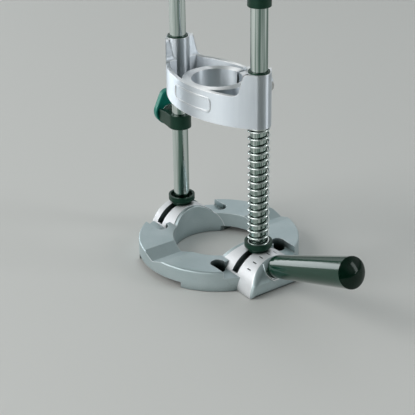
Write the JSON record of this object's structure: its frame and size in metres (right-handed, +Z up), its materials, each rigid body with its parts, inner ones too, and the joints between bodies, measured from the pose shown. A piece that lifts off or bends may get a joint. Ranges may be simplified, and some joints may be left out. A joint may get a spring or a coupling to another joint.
{
  "type": "drill guide stand",
  "caption": "Portable drill guide stand: ring base with side handle, tilting column mast, sprung carriage with a drill collar, and a depth stop.",
  "frame": {"origin": "centre of the base ring's hole, on the work surface that the ring stands on, where the mast's tilt axis and the drill axis cross", "axes": "+X from the centre to the handle's side through both columns, +Z up along the drill axis, the bordered front wall faces -Y"},
  "size_m": [0.2644, 0.14, 0.251],
  "materials": {
    "base_casting": "satin cast, with bright machined rims",
    "carriage_casting": "pale satin",
    "bright_metal": "bright",
    "steel": "zinc plated",
    "spring_steel": "bright",
    "chrome": "polished",
    "black_plastic": "satin",
    "grip": "glossy",
    "knob": "satin"
  },
  "bodies": {
    "base": {"base_ring": "base_casting", "handle_flange": "black_plastic", "handle_stud": "steel", "handle_grip": "grip", "handle_cap": "grip"},
    "mast": {"left_foot_cup": "black_plastic", "right_foot_cup": "black_plastic", "left_clamp_shoe": "steel", "right_clamp_shoe": "steel", "left_clamp_bolt": "steel", "right_clamp_bolt": "steel", "left_column": "chrome", "right_column": "chrome", "left_column_cap": "black_plastic", "right_column_cap": "black_plastic", "return_spring": "spring_steel"},
    "carriage_group": {"carriage": "carriage_casting", "left_upper_bush": "black_plastic", "right_upper_bush": "black_plastic", "left_lower_bush": "black_plastic", "right_lower_bush": "black_plastic", "collar_screw": "steel", "collar_nut": "steel"},
    "depth_stop": {"stop_body": "black_plastic", "stop_nut": "steel"},
    "clamp_knob": {"stop_stud": "steel", "stop_washer": "bright_metal", "stop_knob": "knob"}
  },
  "joints": [
    {"name": "mast_tilt", "type": "hinge", "parent": "base", "child": "mast", "pos_m": [0, 0, 0], "axis": [1, 0, 0], "range_deg": [-45, 45]},
    {"name": "carriage_slide", "type": "slide", "parent": "mast", "child": "carriage_group", "axis": [0, 0, 1], "range_m": [-0.0249, 0.048], "stiffness_N_per_m": 150, "springref_m": 0.0157, "deforming": ["return_spring"]},
    {"name": "depth_slide", "type": "slide", "parent": "mast", "child": "depth_stop", "axis": [0, 0, 1], "range_m": [-0.062, 0]},
    {"name": "knob_turn", "type": "hinge", "parent": "depth_stop", "child": "clamp_knob", "pos_m": [-0.0801, 0.00375, 0.1074], "axis": [-0.9877, 0.1564, 0], "range_deg": [-180, 0]}
  ]
}
